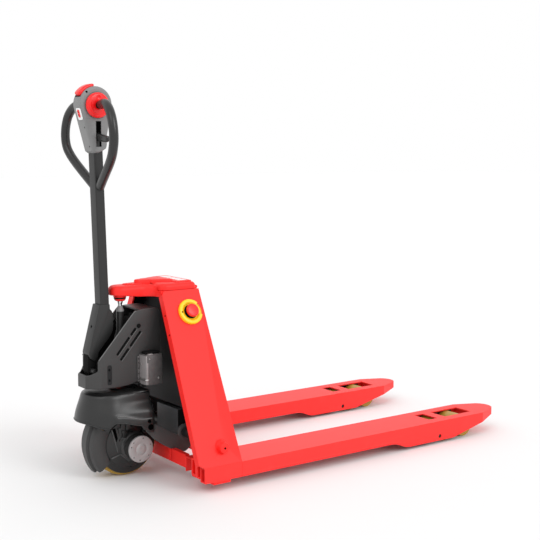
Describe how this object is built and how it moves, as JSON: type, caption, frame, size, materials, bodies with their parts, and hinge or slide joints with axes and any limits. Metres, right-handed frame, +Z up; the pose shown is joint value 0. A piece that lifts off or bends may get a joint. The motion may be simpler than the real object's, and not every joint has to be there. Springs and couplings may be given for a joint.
{
  "type": "electric pallet truck",
  "caption": "Electric pallet truck: twin forks on a leaning A-frame, steered drive wheel under a round dome, tall tiller with looped handle, coupled fork lift linkage.",
  "frame": {"origin": "centre of the truck's outline on the floor", "axes": "+X towards the fork tips, +Y to the operator's left when they face the forks, +Z up"},
  "size_m": [1.536, 0.685, 1.223],
  "materials": {
    "fork": "semi_gloss red powder coat",
    "frame": "gloss red powder coat",
    "dark": "satin charcoal paint",
    "abs": "fine textured black plastic",
    "grey": "textured grey plastic",
    "redplastic": "smooth red plastic",
    "yellow": "smooth yellow plastic",
    "steel": "machined steel",
    "chrome": "hard chrome",
    "alu": "cast aluminium",
    "cast": "painted casting",
    "pu": "amber polyurethane",
    "grip": "soft black grip"
  },
  "bodies": {
    "chassis": {"fork_left": "fork", "fork_right": "fork", "heel_left": "fork", "heel_right": "fork", "side_plate_left": "frame", "side_plate_right": "frame", "back_panel": "frame", "top_deck": "frame", "thrust_cup": "frame", "lift_piston": "chrome", "cross_beam": "frame", "heel_brackets": "frame", "heel_skids": "frame", "pivot_bosses": "frame", "battery_case": "abs", "battery_pack": "abs", "controller_box": "grey", "e_stop_ring": "yellow", "lid_hinge_pin": "steel"},
    "lid": {"battery_lid": "frame"},
    "stop_button": {"e_stop_button": "redplastic"},
    "carrier": {"wheel_dome": "cast", "ear_pins": "steel"},
    "drive_unit": {"steering_column": "dark", "drive_housing": "cast", "drive_motor": "cast", "motor_cap": "alu", "foot_guard": "abs", "pump_cover": "abs", "lift_cylinder": "cast", "control_unit": "alu", "tiller_pin": "steel", "wheel_axle": "steel"},
    "drive_wheel": {"drive_hub": "cast", "drive_tyre": "pu"},
    "tiller": {"tiller_bracket": "dark", "tiller_tube": "dark", "control_head": "grey", "handle_loop_left": "grip", "handle_loop_right": "grip"},
    "throttle": {"throttle_left": "redplastic", "throttle_right": "redplastic"},
    "belly": {"belly_switch": "redplastic"},
    "lever": {"lift_lever": "grip"},
    "horn": {"horn_button": "redplastic"},
    "rocker": {"rocker_shaft": "dark", "rocker_arm_left": "dark", "rocker_arm_right": "dark"},
    "push_rod_left": {"push_rod_left": "dark"},
    "bracket_left": {"roller_bracket_left": "dark"},
    "bogie_left": {"bogie_left": "dark"},
    "roller_front_left": {"roller_front_left": "pu"},
    "roller_rear_left": {"roller_rear_left": "pu"},
    "push_rod_right": {"push_rod_right": "dark"},
    "bracket_right": {"roller_bracket_right": "dark"},
    "bogie_right": {"bogie_right": "dark"},
    "roller_front_right": {"roller_front_right": "pu"},
    "roller_rear_right": {"roller_rear_right": "pu"}
  },
  "joints": [
    {"name": "lift", "type": "slide", "parent": "chassis", "child": "carrier", "axis": [0, 0, -1], "range_m": [0, 0.115]},
    {"name": "steer", "type": "hinge", "parent": "carrier", "child": "drive_unit", "pos_m": [-0.612, 0, 0.25], "axis": [0, 0, 1], "range_deg": [-70, 70]},
    {"name": "drive_wheel_spin", "type": "hinge", "parent": "drive_unit", "child": "drive_wheel", "pos_m": [-0.612, 0, 0.105], "axis": [0, 1, 0], "continuous": true},
    {"name": "tiller_tilt", "type": "hinge", "parent": "drive_unit", "child": "tiller", "pos_m": [-0.721, 0, 0.347], "axis": [0, -1, 0], "range_deg": [0, 70], "stiffness_Nm_per_rad": 20, "springref_deg": -28.65},
    {"name": "throttle_turn", "type": "hinge", "parent": "tiller", "child": "throttle", "pos_m": [-0.694, 0, 1.157], "axis": [0, 1, 0], "range_deg": [-35, 35], "stiffness_Nm_per_rad": 0.5},
    {"name": "belly_press", "type": "slide", "parent": "tiller", "child": "belly", "axis": [0.4695, 0, -0.8829], "range_m": [0, 0.004], "stiffness_N_per_m": 800, "springref_m": -0.004},
    {"name": "lift_lever_swing", "type": "hinge", "parent": "tiller", "child": "lever", "pos_m": [-0.692, -0.016, 1.088], "axis": [-1, 0, 0], "range_deg": [0, 18], "stiffness_Nm_per_rad": 0.8, "springref_deg": -17.19},
    {"name": "horn_press", "type": "slide", "parent": "tiller", "child": "horn", "axis": [0.9662, 0, -0.258], "range_m": [0, 0.0015], "stiffness_N_per_m": 800, "springref_m": -0.003},
    {"name": "lid_open", "type": "hinge", "parent": "chassis", "child": "lid", "pos_m": [-0.376, 0, 0.588], "axis": [0, 1, 0], "range_deg": [0, 100]},
    {"name": "rocker_turn", "type": "hinge", "parent": "chassis", "child": "rocker", "pos_m": [-0.442, 0, 0.13], "axis": [0, 1, 0], "range_deg": [-47.4, 0]},
    {"name": "stop_press", "type": "slide", "parent": "chassis", "child": "stop_button", "axis": [0, 0.899, -0.438], "range_m": [0, 0.0045], "stiffness_N_per_m": 800, "springref_m": -0.003},
    {"name": "push_left", "type": "slide", "parent": "chassis", "child": "push_rod_left", "axis": [1, 0, 0], "range_m": [0, 0.03519]},
    {"name": "bracket_turn_left", "type": "hinge", "parent": "chassis", "child": "bracket_left", "pos_m": [0.413, 0.2675, 0.026], "axis": [0, 1, 0], "range_deg": [0, 54.92]},
    {"name": "bogie_rock_left", "type": "hinge", "parent": "bracket_left", "child": "bogie_left", "pos_m": [0.548, 0.2675, 0.037], "axis": [0, 1, 0], "range_deg": [-54.92, 0]},
    {"name": "roller_front_left_spin", "type": "hinge", "parent": "bogie_left", "child": "roller_front_left", "pos_m": [0.594, 0.2675, 0.037], "axis": [0, 1, 0], "continuous": true},
    {"name": "roller_rear_left_spin", "type": "hinge", "parent": "bogie_left", "child": "roller_rear_left", "pos_m": [0.502, 0.2675, 0.037], "axis": [0, 1, 0], "continuous": true},
    {"name": "push_right", "type": "slide", "parent": "chassis", "child": "push_rod_right", "axis": [1, 0, 0], "range_m": [0, 0.03519]},
    {"name": "bracket_turn_right", "type": "hinge", "parent": "chassis", "child": "bracket_right", "pos_m": [0.413, -0.2675, 0.026], "axis": [0, 1, 0], "range_deg": [0, 54.92]},
    {"name": "bogie_rock_right", "type": "hinge", "parent": "bracket_right", "child": "bogie_right", "pos_m": [0.548, -0.2675, 0.037], "axis": [0, 1, 0], "range_deg": [-54.92, 0]},
    {"name": "roller_front_right_spin", "type": "hinge", "parent": "bogie_right", "child": "roller_front_right", "pos_m": [0.594, -0.2675, 0.037], "axis": [0, 1, 0], "continuous": true},
    {"name": "roller_rear_right_spin", "type": "hinge", "parent": "bogie_right", "child": "roller_rear_right", "pos_m": [0.502, -0.2675, 0.037], "axis": [0, 1, 0], "continuous": true}
  ],
  "couplings": [
    {"joint": "rocker_turn", "follows": "lift", "rad_per_m": -7.1784},
    {"joint": "push_left", "follows": "lift", "ratio": 0.30422},
    {"joint": "bracket_turn_left", "follows": "lift", "rad_per_m": 8.3195},
    {"joint": "bogie_rock_left", "follows": "lift", "rad_per_m": -8.3195},
    {"joint": "push_right", "follows": "lift", "ratio": 0.30422},
    {"joint": "bracket_turn_right", "follows": "lift", "rad_per_m": 8.3195},
    {"joint": "bogie_rock_right", "follows": "lift", "rad_per_m": -8.3195}
  ]
}
